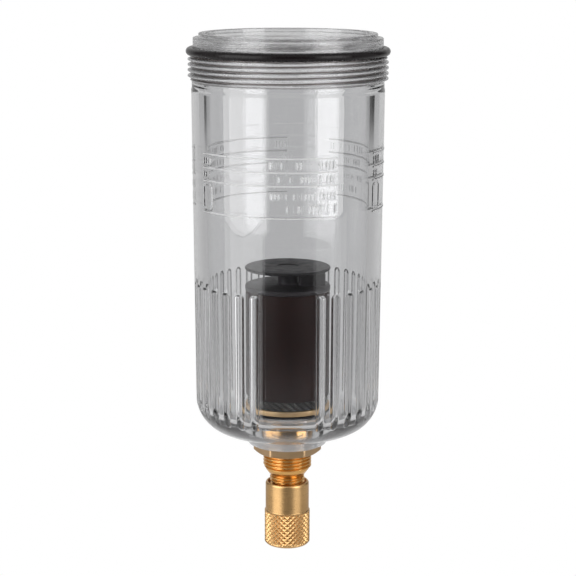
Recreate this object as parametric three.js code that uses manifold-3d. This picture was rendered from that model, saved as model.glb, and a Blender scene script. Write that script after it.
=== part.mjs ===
// Bowl unit of a compressed air filter: a clear threaded bowl with an automatic float drain.
// Millimetres, +Z up along the bowl's axis, z = 0 on the bowl's rim, -Y towards the sight window.
import * as THREE from 'three';
import { mergeVertices } from 'three/addons/utils/BufferGeometryUtils.js';
import Module from 'manifold-3d';

const wasm = await Module();
wasm.setup();

const filterBowl = new THREE.Group();
filterBowl.name = 'filter_bowl_unit';

// ---------------------------------------------------------------- driving dimensions

const FINE = 0.05;                     // gap between parts that rest on each other
const SNUG = 0.08;                     // radial clearance of a sliding part

const bowl = {
  sides: 48,
  bore: 22.9, wall: 4, ring: 24.75, collar: 26.3, collarTop: -1.25, collarBottom: -3.65,
  sealNeck: 25.9, threadTop: -6.35, threadCrest: 27.75, threadRoot: 26.85, threadPitch: 1.5, threadTurns: 4,
  relief: 26.67, bodyTop: -15.3, bodyTopRadius: 26.82, kneeRadius: 25.98, kneeTop: -102.65, knee: 10,
  coneAngle: THREE.MathUtils.degToRad(19.3), bossRadius: 11.1, bossBottom: -117, bossChamfer: 1.2,
  floor: -106.65, drainBore: 7.3, innerKnee: 3,
};
const sealRing = { centre: 27.15, cord: 1.1, z: -4.95 };
const flute = { radius: 1.05, centre: 26, top: -69.1, bottom: -112, pitch: 10, firstFromFront: 20 };

const shank = {
  thread: 6.93, root: 6.3, neck: 5, neckRoot: 4.4, pitch: 1,
  top: -106, bottom: -124, neckTop: -126.2, end: -133.5,
};
const flange = { radius: 12, top: -104.55 };
const hub = { radius: 5.5, top: -99.5, chamber: 3.7, chamberTop: -103, chamberBottom: -108, port: 0.7 };
const gasket = { inner: 7.5, bottom: bowl.floor + FINE, top: shank.top - FINE };
const nut = { acrossFlats: 17, top: bowl.bossBottom - FINE, bottom: -119.45, chamfer: 0.6 };

const housing = { radius: 11.9, bore: 10.9, top: -71.6, bottom: -101.9 };
const strainer = { inner: 11, outer: 11.65 };
const cap = {
  radius: 12.05, top: -70.2, rim: 1.3, plug: 10.8, plugBottom: -73.5, recess: 6, recessTop: -71.7,
  neck: 2.75, neckFlare: 3.4, neckTop: -65.9, socket: 1.6, socketBottom: -69.1,
};
const disc = { radius: 12.1, top: -65, thickness: 0.85, bevel: 0.3, pin: 1.5, pinBottom: -69 };
const vent = {
  foot: { inner: 4.2, outer: 10.6, half: 3.2, top: -67.5 },
  tower: { inner: 5.1, outer: 9.7, half: 2.6, top: disc.top - disc.thickness - 0.2 },
};

const guide = { radius: 3.1, bore: 2, top: -81.3, bottom: hub.chamberTop + 0.1 };
const cylinder = { radius: 8.6, bore: 7.4, top: -73.6, floorTop: -80.2, bottom: -82 };
const nozzle = {
  x: -3.4, y: 4.6, radius: 1.4, spigot: 0.85, tip: 0.6, bore: 0.35, shoulder: -84.2, end: -85.1,
};
const lever = {
  pivotX: -1, pivotZ: -86.4, thickness: 0.9, width: 1.6, boss: 1, tipX: 7, padX: nozzle.x, nub: 0.3,
};
const bracket = { half: 0.8, gap: 0.15, innerEar: 0.4, outerEar: 0.6, bridge: 0.6, below: 0.9 };
const pin = { radius: 0.4, hole: 0.45 };
const pad = { radius: 0.95, gap: 0.1 };
const float = {
  radius: 10.4, bore: 3.4, top: -87.4, bottom: -99.2,
  pocket: { half: 6.2, front: 2.8, back: 6.9, depth: 4.6 },
};

const piston = { radius: cylinder.bore - SNUG, top: -77.2, bottom: -79.2, groove: 6.6, grooveHalf: 0.45 };
const pistonSeal = { centre: 6.99, cord: 0.35 };
const spring = { wire: 0.3, radius: 4.4, turns: 4, stepsPerTurn: 10 };
const stem = {
  radius: 1.5, spigot: 1, spigotTop: piston.top + 1, tip: 0.8,
  flange: 2.5, flangeTop: -105.3, flangeBottom: -105.8,
};
const stemClip = { outer: 2.4, thickness: 0.5 };
const outlet = {
  bore: 3.2, seat: -107.5, shoulder: -134.95, radius: 3.2 - SNUG, tail: 2.2, end: -140.2, hole: 1.3,
  groove: 2.4, grooveTop: -111.4, grooveBottom: -112.5,
};
const outletSeal = { centre: 2.79, cord: 0.34 };
const knob = {
  sides: 30, bore: 5.06, smooth: 6.25, knurl: 6.55, top: -128.25, knurlTop: -136.9, knurlBottom: -146.1,
  bottom: -147, webTop: -135.1, webBottom: -139, socket: 4.4, knurlRows: 8, knurlDepth: 0.35,
};
const clip = {
  inner: 1.9, outer: 3.2, top: knob.webBottom - 0.2, bottom: knob.webBottom - 0.95, slotHalf: 1.2,
};

// ---------------------------------------------------------------- shop tools

const material = (colour, roughness, metalness, opacity = 1) =>
  new THREE.MeshStandardMaterial({ color: colour, roughness, metalness, opacity, transparent: opacity < 1 });
const clearPlastic = material(0xd9dde0, 0.08, 0, 0.35);
const brass = material(0xb9915a, 0.32, 1);
const threadBrass = material(0xbe7832, 0.28, 1);
const blackPlastic = material(0x2c2a2b, 0.5, 0);
const brownPlastic = material(0x2d2321, 0.45, 0);
const blackRubber = material(0x141414, 0.6, 0);
const steel = material(0x9a9a98, 0.35, 1);
const foam = material(0x8a8378, 0.85, 0);

// Merge a geometry to position and index only, without collapsed triangles.
function bare(geometry) {
  const copy = geometry.clone();
  copy.deleteAttribute('normal');
  copy.deleteAttribute('uv');
  const merged = mergeVertices(copy, 1e-4);
  const index = merged.getIndex().array;
  const kept = [];
  for (let i = 0; i < index.length; i += 3) {
    const corners = [index[i], index[i + 1], index[i + 2]];
    if (new Set(corners).size === 3) kept.push(...corners);
  }
  merged.setIndex(kept);
  return merged;
}

function manifoldOf(geometry) {
  const source = bare(geometry);
  return new wasm.Manifold(new wasm.Mesh({
    numProp: 3,
    vertProperties: new Float32Array(source.attributes.position.array),
    triVerts: new Uint32Array(source.getIndex().array),
  }));
}

function geometryOf(manifold) {
  const mesh = manifold.getMesh();
  const geometry = new THREE.BufferGeometry();
  geometry.setAttribute('position', new THREE.BufferAttribute(new Float32Array(mesh.vertProperties), 3));
  geometry.setIndex(new THREE.BufferAttribute(new Uint32Array(mesh.triVerts), 1));
  return geometry;
}

const cut = (body, ...tools) =>
  geometryOf(tools.reduce((left, tool) => left.subtract(manifoldOf(tool)), manifoldOf(body)));
const join = (body, ...others) =>
  geometryOf(others.reduce((sum, other) => sum.add(manifoldOf(other)), manifoldOf(body)));
const common = (body, other) => geometryOf(manifoldOf(body).intersect(manifoldOf(other)));

// Turn an outline of [radius, z] corners about the Z axis.
function turned(outline, sides) {
  const points = outline.map(([radius, z]) => new THREE.Vector2(radius, z));
  if (THREE.ShapeUtils.area(points) < 0) points.reverse();
  const geometry = new THREE.LatheGeometry([...points, points[0]], sides);
  geometry.rotateX(Math.PI / 2);
  return bare(geometry);
}

// A plain tube or washer.
const ring = (inner, outer, low, high, sides) =>
  turned([[inner, low], [outer, low], [outer, high], [inner, high]], sides);

// A round cord closed into a ring.
function cordRing(centreRadius, cord, z, sides, cordSides) {
  const geometry = new THREE.TorusGeometry(centreRadius, cord, cordSides, sides);
  geometry.translate(0, 0, z);
  return bare(geometry);
}

// A box from its low corner to its high corner.
function block([x0, y0, z0], [x1, y1, z1]) {
  const geometry = new THREE.BoxGeometry(x1 - x0, y1 - y0, z1 - z0);
  geometry.translate((x0 + x1) / 2, (y0 + y1) / 2, (z0 + z1) / 2);
  return bare(geometry);
}

// A solid rod along Y, centred on y.
function crossRod(radius, length, x, y, z, sides) {
  const geometry = new THREE.CylinderGeometry(radius, radius, length, sides);
  geometry.translate(x, y, z);
  return bare(geometry);
}

// Zigzag corners of a thread's section, from its lowest root to its highest root.
function threadCorners(crest, root, top, pitch, turns) {
  const corners = [];
  for (let turn = turns; turn > 0; turn -= 1) {
    corners.push([root, top - turn * pitch], [crest, top - (turn - 0.5) * pitch]);
  }
  corners.push([root, top]);
  return corners;
}

// Corners of an arc of a turned outline, angles measured from the +radius direction.
function arcCorners(centreRadius, centreZ, radius, from, to, steps) {
  const corners = [];
  for (let step = 0; step <= steps; step += 1) {
    const angle = from + ((to - from) * step) / steps;
    corners.push([centreRadius + radius * Math.cos(angle), centreZ + radius * Math.sin(angle)]);
  }
  return corners;
}

function add(name, geometry, surface) {
  const mesh = new THREE.Mesh(geometry, surface.clone());
  mesh.name = name;
  mesh.geometry.computeVertexNormals();
  filterBowl.add(mesh);
  return mesh;
}

// ---------------------------------------------------------------- the clear bowl and its seal

function bowlGeometry() {
  const b = bowl;
  const kneeCentre = b.kneeRadius - b.knee;
  const innerWall = b.kneeRadius - b.wall;
  const coneTop = b.kneeTop - b.knee * Math.cos(b.coneAngle);
  const coneTopRadius = kneeCentre + b.knee * Math.sin(b.coneAngle);
  const bossTop = coneTop - (coneTopRadius - b.bossRadius) * Math.tan(b.coneAngle);
  const outside = [
    [b.drainBore, b.bossBottom],
    [b.bossRadius - b.bossChamfer, b.bossBottom],
    [b.bossRadius, b.bossBottom + b.bossChamfer / 2],
    [b.bossRadius, bossTop],
    ...arcCorners(kneeCentre, b.kneeTop, b.knee, b.coneAngle - Math.PI / 2, 0, 4),
    [b.bodyTopRadius, b.bodyTop],
    [b.relief, b.bodyTop + 0.2],
    [b.relief, b.threadTop - b.threadTurns * b.threadPitch - 0.5],
    ...threadCorners(b.threadCrest, b.threadRoot, b.threadTop, b.threadPitch, b.threadTurns),
    [b.sealNeck, b.threadTop + 0.2],
    [b.sealNeck, b.collarBottom],
    [b.collar, b.collarBottom],
    [b.collar, b.collarTop],
    [b.ring, b.collarTop],
    [b.ring, 0],
  ];
  const inside = [
    [b.bore, 0],
    ...arcCorners(innerWall - b.innerKnee, b.floor + b.innerKnee, b.innerKnee, 0, -Math.PI / 2, 3),
    [b.drainBore, b.floor],
  ];
  return turned([...outside, ...inside], b.sides);
}

// One grip flute: a round-ended bar standing in the wall; it runs out where the knee curves in.
function fluteTool(angleFromFront) {
  const f = flute;
  const bar = turned([
    [0, f.bottom], [f.radius, f.bottom], ...arcCorners(0, f.top - f.radius, f.radius, 0, Math.PI / 2, 2),
  ], 8);
  bar.rotateZ(Math.PI / 8);
  bar.translate(0, -f.centre, 0);
  bar.rotateZ(THREE.MathUtils.degToRad(angleFromFront));
  return bar;
}

const fluteTools = [];
for (let angle = flute.firstFromFront; angle <= 360 - flute.firstFromFront; angle += flute.pitch) {
  fluteTools.push(fluteTool(angle));
}
add('bowl', cut(bowlGeometry(), ...fluteTools), clearPlastic);
add('bowl_o_ring', cordRing(sealRing.centre, sealRing.cord, sealRing.z, bowl.sides, 6), blackRubber);

// ---------------------------------------------------------------- drain body, gasket and nut

function drainBodyGeometry() {
  const neckTurns = 3;
  const shankTurns = 4;
  const shankThreadTop = shank.bottom + shankTurns * shank.pitch;
  const body = turned([
    [outlet.bore, shank.end],
    [shank.neckRoot, shank.end],
    [shank.neck - 0.1, shank.end + 0.5],
    [shank.neck - 0.1, shank.neckTop - neckTurns * shank.pitch],
    ...threadCorners(shank.neck, shank.neckRoot, shank.neckTop, shank.pitch, neckTurns),
    [shank.root, shank.bottom - 0.4],
    ...threadCorners(shank.thread, shank.root, shankThreadTop, shank.pitch, shankTurns),
    [shank.thread, shankThreadTop + 0.5],
    [shank.thread, shank.top],
    [flange.radius, shank.top],
    [flange.radius, flange.top],
    [hub.radius, flange.top],
    [hub.radius, hub.top],
    [guide.radius + 0.1, hub.top],
    [guide.radius + 0.1, hub.chamberTop],
    [hub.chamber, hub.chamberTop],
    [hub.chamber, hub.chamberBottom],
    [outlet.bore, hub.chamberBottom],
  ], 28);
  const acrossY = crossRod(hub.port, 3 * hub.radius, 0, 0, flange.top + hub.port + FINE, 8);
  const acrossX = acrossY.clone();
  acrossX.rotateZ(Math.PI / 2);
  return cut(body, acrossY, acrossX);
}
add('drain_body', drainBodyGeometry(), threadBrass);
add('flange_gasket', ring(gasket.inner, flange.radius, gasket.bottom, gasket.top, 32), blackRubber);

function clampNutGeometry() {
  const cornerRadius = nut.acrossFlats / 2 / Math.cos(Math.PI / 6);
  const flatRadius = nut.acrossFlats / 2;
  const hexagon = new THREE.CylinderGeometry(cornerRadius, cornerRadius, nut.top - nut.bottom, 6);
  hexagon.rotateX(Math.PI / 2);
  hexagon.rotateZ(Math.PI / 2);
  hexagon.translate(0, 0, (nut.top + nut.bottom) / 2);
  const chamfered = turned([
    [0, nut.bottom], [flatRadius, nut.bottom], [cornerRadius + 0.2, nut.bottom + nut.chamfer],
    [cornerRadius + 0.2, nut.top], [0, nut.top],
  ], 24);
  const tappedHole = ring(0, shank.thread + 0.1, nut.bottom - 1, nut.top + 1, 28);
  return cut(common(hexagon, chamfered), tappedHole);
}
add('clamp_nut', clampNutGeometry(), brass);

// ---------------------------------------------------------------- float housing, strainer, cap and disc

const [strainerLow, strainerHigh] = [flange.top + FINE, housing.bottom - FINE];
add('inlet_strainer', ring(strainer.inner, strainer.outer, strainerLow, strainerHigh, 40), steel);
add('float_housing', ring(housing.bore, housing.radius, housing.bottom, housing.top, 40), brownPlastic);

add('housing_cap', turned([
  [0, cap.recessTop], [cap.recess, cap.recessTop], [cap.recess, cap.plugBottom], [cap.plug, cap.plugBottom],
  [cap.plug, cap.top - cap.rim], [cap.radius, cap.top - cap.rim], [cap.radius, cap.top],
  [cap.neck, cap.top], [cap.neckFlare, cap.neckTop], [cap.socket, cap.neckTop], [cap.socket, cap.socketBottom],
  [0, cap.socketBottom],
], 32), blackPlastic);

const discBottom = disc.top - disc.thickness;
add('splash_disc', turned([
  [0, disc.pinBottom], [disc.pin, disc.pinBottom], [disc.pin, discBottom],
  [disc.radius - disc.bevel, discBottom], [disc.radius, disc.top - disc.thickness / 2],
  [disc.radius - disc.bevel, disc.top], [0, disc.top],
], 32), blackPlastic);

// The vent block: a wide foot on the lid with a narrower tower up to the disc.
const { foot, tower } = vent;
add('vent_block', join(
  block([foot.inner, -foot.half, cap.top + FINE], [foot.outer, foot.half, foot.top]),
  block([tower.inner, -tower.half, foot.top - 1], [tower.outer, tower.half, tower.top]),
), blackPlastic);

// ---------------------------------------------------------------- guide tube and pilot cylinder

add('guide_tube', ring(guide.bore, guide.radius, guide.bottom, guide.top, 20), brass);

function pilotCylinderGeometry() {
  const cup = turned([
    [guide.radius + 0.1, cylinder.bottom], [cylinder.radius, cylinder.bottom], [cylinder.radius, cylinder.top],
    [cylinder.bore, cylinder.top], [cylinder.bore, cylinder.floorTop], [stem.radius + 0.1, cylinder.floorTop],
    [stem.radius + 0.1, guide.top + 0.1], [guide.radius + 0.1, guide.top + 0.1],
  ], 24);
  const nozzleHole = ring(0, nozzle.spigot + FINE, cylinder.bottom - 1, cylinder.floorTop + 1, 10);
  nozzleHole.translate(nozzle.x, nozzle.y, 0);
  return cut(cup, nozzleHole);
}
add('pilot_cylinder', pilotCylinderGeometry(), blackPlastic);

const nozzleTop = cylinder.bottom - FINE;
const nozzleGeometry = turned([
  [nozzle.bore, nozzle.end], [nozzle.tip, nozzle.end], [nozzle.radius, nozzle.shoulder],
  [nozzle.radius, nozzleTop], [nozzle.spigot, nozzleTop],
  [nozzle.spigot, cylinder.floorTop], [nozzle.bore, cylinder.floorTop],
], 10);
nozzleGeometry.translate(nozzle.x, nozzle.y, 0);
add('pilot_nozzle', nozzleGeometry, brass);

// ---------------------------------------------------------------- pilot lever on its bracket and pin

const slotHalf = lever.width / 2 + bracket.gap;
const innerEar = [nozzle.y - slotHalf - bracket.innerEar, nozzle.y - slotHalf];
const outerEar = [nozzle.y + slotHalf, nozzle.y + slotHalf + bracket.outerEar];

function leverBracketGeometry() {
  const bridgeTop = cylinder.bottom - FINE;
  const [left, right] = [lever.pivotX - bracket.half, lever.pivotX + bracket.half];
  const bridge = block([left, innerEar[0], bridgeTop - bracket.bridge], [right, outerEar[1], bridgeTop]);
  const ear = ([front, back]) =>
    block([left, front, lever.pivotZ - bracket.below], [right, back, bridgeTop - bracket.bridge / 2]);
  const pinHole = crossRod(pin.hole, 4 * lever.width, lever.pivotX, nozzle.y, lever.pivotZ, 12);
  return cut(join(bridge, ear(innerEar), ear(outerEar)), pinHole);
}
add('lever_bracket', leverBracketGeometry(), blackPlastic);

const pinLength = outerEar[1] - innerEar[0];
const pinMiddle = (innerEar[0] + outerEar[1]) / 2;
add('lever_pin', crossRod(pin.radius, pinLength, lever.pivotX, pinMiddle, lever.pivotZ, 12), steel);

function pilotLeverGeometry() {
  const { pivotZ, tipX, nub } = lever;
  const half = lever.thickness / 2;
  const [front, back] = [nozzle.y - lever.width / 2, nozzle.y + lever.width / 2];
  const bar = block([lever.padX - 1, front, pivotZ - half], [tipX + 2 * nub, back, pivotZ + half]);
  const lift = block([tipX - nub, front, pivotZ - 2 * half], [tipX + nub, back, pivotZ]);
  const boss = crossRod(lever.boss, lever.width, lever.pivotX, nozzle.y, lever.pivotZ, 16);
  const pinHole = crossRod(pin.hole, 2 * lever.width, lever.pivotX, nozzle.y, lever.pivotZ, 12);
  return cut(join(bar, lift, boss), pinHole);
}
add('pilot_lever', pilotLeverGeometry(), steel);

const padBottom = lever.pivotZ + lever.thickness / 2 + FINE;
const padGeometry = ring(0, pad.radius, padBottom, nozzle.end - pad.gap, 12);
padGeometry.translate(nozzle.x, nozzle.y, 0);
add('pilot_pad', padGeometry, blackRubber);

// ---------------------------------------------------------------- float

function floatGeometry() {
  const body = ring(float.bore, float.radius, float.bottom, float.top, 32);
  const { half, front, back, depth } = float.pocket;
  return cut(body, block([-half, front, float.top - depth], [half, back, float.top + 1]));
}
add('float', floatGeometry(), foam);

// ---------------------------------------------------------------- piston, stem and drain valve

const grooveMiddle = (piston.top + piston.bottom) / 2;
const [grooveLow, grooveHigh] = [grooveMiddle - piston.grooveHalf, grooveMiddle + piston.grooveHalf];
add('piston', turned([
  [stem.spigot + FINE, piston.bottom], [piston.radius, piston.bottom], [piston.radius, grooveLow],
  [piston.groove, grooveLow], [piston.groove, grooveHigh], [piston.radius, grooveHigh],
  [piston.radius, piston.top], [stem.spigot + FINE, piston.top],
], 24), brass);
add('piston_seal', cordRing(pistonSeal.centre, pistonSeal.cord, grooveMiddle, 24, 6), blackRubber);

const stemEnd = outlet.seat + 0.3;
add('valve_stem', turned([
  [0, stemEnd], [stem.tip, stemEnd], [stem.tip, stem.flangeBottom], [stem.flange, stem.flangeBottom],
  [stem.flange, stem.flangeTop], [stem.radius, stem.flangeTop], [stem.radius, piston.bottom - FINE],
  [stem.spigot, piston.bottom - FINE], [stem.spigot, stem.spigotTop], [0, stem.spigotTop],
], 12), steel);
const stemClipLow = piston.top + FINE;
const stemClipHigh = stemClipLow + stemClip.thickness;
add('stem_clip', ring(stem.spigot + FINE, stemClip.outer, stemClipLow, stemClipHigh, 12), steel);
const [valveSealLow, valveSealHigh] = [outlet.seat + FINE, stem.flangeBottom - FINE];
add('valve_seal', ring(stem.tip + FINE, stem.flange - 0.1, valveSealLow, valveSealHigh, 16), blackRubber);

// The return spring: a round wire wound up from the piston to the cap, closed ends a little in from both.
function pistonSpringGeometry() {
  const low = piston.top + spring.wire + FINE;
  const high = cap.recessTop - spring.wire - FINE;
  const steps = spring.turns * spring.stepsPerTurn;
  const centreLine = new THREE.CatmullRomCurve3(Array.from({ length: steps + 1 }, (_, step) => {
    const share = step / steps;
    const angle = share * spring.turns * 2 * Math.PI;
    const [x, y] = [spring.radius * Math.cos(angle), spring.radius * Math.sin(angle)];
    return new THREE.Vector3(x, y, low + (high - low) * share);
  }));
  const section = new THREE.Shape();
  section.absarc(0, 0, spring.wire, 0, 2 * Math.PI);
  return bare(new THREE.ExtrudeGeometry(section, {
    steps, curveSegments: 3, extrudePath: centreLine, bevelEnabled: false,
  }));
}
add('piston_spring', pistonSpringGeometry(), steel);

// ---------------------------------------------------------------- outlet tube, its seal and the drain knob

add('outlet_tube', turned([
  [outlet.hole, outlet.end], [outlet.tail, outlet.end], [outlet.tail, clip.bottom], [clip.inner, clip.bottom],
  [clip.inner, clip.top], [outlet.tail, clip.top], [outlet.tail, outlet.shoulder],
  [outlet.radius, outlet.shoulder], [outlet.radius, outlet.grooveBottom],
  [outlet.groove, outlet.grooveBottom], [outlet.groove, outlet.grooveTop],
  [outlet.radius, outlet.grooveTop], [outlet.radius, outlet.seat], [outlet.hole, outlet.seat],
], 20), brass);
const outletSealZ = (outlet.grooveTop + outlet.grooveBottom) / 2;
add('outlet_o_ring', cordRing(outletSeal.centre, outletSeal.cord, outletSealZ, 20, 6), blackRubber);

// A spring clip that holds the tube in the knob: a washer with one slot.
const clipWasher = ring(clip.inner + FINE, clip.outer, clip.bottom + FINE, clip.top - FINE, 20);
const clipSlot = block([0, -clip.slotHalf, clip.bottom - 1], [clip.outer + 1, clip.slotHalf, clip.top + 1]);
add('knob_clip', cut(clipWasher, clipSlot), steel);

// Diamond knurl: every other corner of the grid of rings and sides is pressed in.
function knurl(geometry) {
  const position = geometry.attributes.position;
  for (let i = 0; i < position.count; i += 1) {
    const [x, y, z] = [position.getX(i), position.getY(i), position.getZ(i)];
    const radius = Math.hypot(x, y);
    const row = Math.round((knob.knurlRows * (knob.knurlTop - z)) / (knob.knurlTop - knob.knurlBottom));
    const side = Math.round((Math.atan2(x, -y) * knob.sides) / (2 * Math.PI));
    const onKnurl = radius > knob.smooth && z < knob.knurlTop - 0.1 && z > knob.knurlBottom + 0.1;
    if (onKnurl && (row + side) % 2 !== 0) {
      const pressed = (radius - knob.knurlDepth) / radius;
      position.setXY(i, x * pressed, y * pressed);
    }
  }
  return geometry;
}

function drainKnobGeometry() {
  const knurlRings = Array.from({ length: knob.knurlRows + 1 }, (_, row) =>
    [knob.knurl, knob.knurlBottom + (row / knob.knurlRows) * (knob.knurlTop - knob.knurlBottom)]);
  return knurl(turned([
    [knob.socket, knob.bottom], [knob.smooth - 0.4, knob.bottom], ...knurlRings,
    [knob.smooth, knob.knurlTop + 0.15], [knob.smooth, knob.top - 0.4], [knob.smooth - 0.3, knob.top],
    [knob.smooth - 0.7, knob.top], [knob.bore, knob.top - 1],
    [knob.bore, knob.webTop], [outlet.tail + SNUG, knob.webTop], [outlet.tail + SNUG, knob.webBottom],
    [knob.socket, knob.webBottom],
  ], knob.sides));
}
add('drain_knob', drainKnobGeometry(), brass);

export default filterBowl;
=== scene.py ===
"""The bowl unit of a compressed air filter: fine surfaces, materials, light and camera on the CAD frame."""
import math

import bpy
import numpy as np
from mathutils import Matrix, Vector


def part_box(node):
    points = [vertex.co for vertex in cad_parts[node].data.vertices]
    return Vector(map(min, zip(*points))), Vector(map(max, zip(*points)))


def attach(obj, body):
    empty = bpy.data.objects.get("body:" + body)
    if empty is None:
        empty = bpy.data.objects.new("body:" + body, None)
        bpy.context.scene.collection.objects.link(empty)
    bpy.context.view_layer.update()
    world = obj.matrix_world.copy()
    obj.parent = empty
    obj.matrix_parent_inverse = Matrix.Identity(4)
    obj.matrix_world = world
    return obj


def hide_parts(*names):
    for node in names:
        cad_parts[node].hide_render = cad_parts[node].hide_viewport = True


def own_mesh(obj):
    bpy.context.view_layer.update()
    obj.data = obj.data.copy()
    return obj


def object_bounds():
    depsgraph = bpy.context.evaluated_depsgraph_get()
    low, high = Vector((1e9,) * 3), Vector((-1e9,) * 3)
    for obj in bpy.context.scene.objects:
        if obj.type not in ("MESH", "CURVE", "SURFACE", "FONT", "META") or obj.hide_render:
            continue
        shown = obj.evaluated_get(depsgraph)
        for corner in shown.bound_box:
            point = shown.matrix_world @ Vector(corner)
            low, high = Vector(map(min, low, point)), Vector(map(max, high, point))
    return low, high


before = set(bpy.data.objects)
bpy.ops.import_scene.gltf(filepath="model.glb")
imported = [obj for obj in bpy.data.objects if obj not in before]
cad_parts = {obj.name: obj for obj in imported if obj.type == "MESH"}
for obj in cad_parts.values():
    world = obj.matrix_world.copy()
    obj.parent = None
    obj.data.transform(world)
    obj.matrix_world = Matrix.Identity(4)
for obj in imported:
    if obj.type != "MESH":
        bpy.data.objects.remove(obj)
cad_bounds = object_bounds()

MM = 0.001
TAU = 2 * math.pi


# ------------------------------------------------------------------ node places, in millimetres

def span(node):
    """(lowest z, highest z, outer radius) of a CAD node in millimetres."""
    low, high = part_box(node)
    return low[2] / MM, high[2] / MM, high[0] / MM


# ------------------------------------------------------------------ mesh tools

def piece(name, points, faces, material, body, *nodes, sharp=38):
    """A smooth-shaded piece from points in millimetres; it rides on body and stands for the CAD nodes."""
    mesh = bpy.data.meshes.new(name)
    mesh.from_pydata((np.asarray(points, dtype=float) * MM).tolist(), [], [list(face) for face in faces])
    mesh.shade_smooth()
    mesh.set_sharp_from_angle(angle=math.radians(sharp))
    mesh.materials.append(material)
    made = bpy.data.objects.new(name, mesh)
    bpy.context.scene.collection.objects.link(made)
    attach(made, body)
    if nodes:
        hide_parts(*nodes)
    return made


def grid_faces(levels, around, first_vertex=0, closed=True):
    """Quads between rings of points; the last ring joins the first one when closed."""
    level = np.arange(levels if closed else levels - 1)[:, None]
    step = np.arange(around)[None, :]
    above = (level + 1) % levels
    beside = (step + 1) % around
    corners = [level * around + step, level * around + beside, above * around + beside, above * around + step]
    return np.stack(corners, axis=-1).reshape(-1, 4) + first_vertex


def ring_points(radius, z, theta):
    """Points at radius[level, step] and z[level, step] on the directions theta[step]."""
    radius, z, theta = np.broadcast_arrays(radius, z, theta)
    return np.stack([radius * np.cos(theta), radius * np.sin(theta), z], axis=-1).reshape(-1, 3)


def rounded(outline, fillet=0.15, steps=3, closed=True):
    """The outline of (radius, z[, fillet]) with corners off the axis rounded; an open one keeps its ends."""
    count = len(outline)
    result = []
    for index, corner in enumerate(outline):
        here = np.array(corner[:2], dtype=float)
        is_end = not closed and index in (0, count - 1)
        if here[0] == 0 or is_end:
            result.append(here)
            continue
        back = np.array(outline[index - 1][:2], dtype=float) - here
        ahead = np.array(outline[(index + 1) % count][:2], dtype=float) - here
        size = corner[2] if len(corner) > 2 else fillet
        cut = min(size, 0.45 * np.hypot(*back), 0.45 * np.hypot(*ahead))
        if cut < 0.01:
            result.append(here)
            continue
        start = here + back / np.hypot(*back) * cut
        end = here + ahead / np.hypot(*ahead) * cut
        for t in np.linspace(0, 1, steps + 1):
            result.append((1 - t) ** 2 * start + 2 * t * (1 - t) * here + t ** 2 * end)
    return np.array(result)


def turned(name, outline, material, body, *nodes, around=128, fillet=0.15, centre=(0, 0)):
    """A turned piece: the outline, counter-clockwise in (radius, z), spun round a vertical axis."""
    profile = rounded(outline, fillet)
    theta = np.arange(around) * TAU / around
    if profile[0][0] > 0:
        points = ring_points(profile[:, :1], profile[:, 1:], theta)
        faces = grid_faces(len(profile), around).tolist()
    else:
        inner = profile[1:-1]
        points = ring_points(inner[:, :1], inner[:, 1:], theta)
        poles = [[0, 0, profile[0][1]], [0, 0, profile[-1][1]]]
        low_pole, high_pole = len(points), len(points) + 1
        points = np.concatenate([points, poles])
        last = (len(inner) - 1) * around
        faces = grid_faces(len(inner), around, closed=False).tolist()
        faces += [[low_pole, (step + 1) % around, step] for step in range(around)]
        faces += [[high_pole, last + step, last + (step + 1) % around] for step in range(around)]
    points = points + np.array([centre[0], centre[1], 0])
    return piece(name, points, faces, material, body, *nodes)


def arc(centre_radius, centre_z, radius, start, end, steps):
    """Corners of an arc in (radius, z), angles in degrees from the +radius direction."""
    angles = np.radians(np.linspace(start, end, steps + 1))
    return [(centre_radius + radius * math.cos(a), centre_z + radius * math.sin(a)) for a in angles]


def smooth_step(value, low, high):
    """0 below low, 1 above high, smooth between."""
    t = np.clip((value - low) / (high - low), 0, 1)
    return t * t * (3 - 2 * t)


def thread_height(theta, z, bottom, top, pitch, crest_z, fade=0.5):
    """0 at the root and 1 at the crest of a right-hand thread; crest_z is a crest's height at theta 0."""
    turn = (z - crest_z) / pitch - theta / TAU
    from_crest = 2 * np.abs(turn - np.round(turn))
    flank = smooth_step(1.18 - 1.25 * from_crest, 0.05, 0.95)
    return flank * smooth_step(z, bottom, bottom + fade) * smooth_step(-z, -top, -top + fade)


# ------------------------------------------------------------------ material tools

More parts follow.
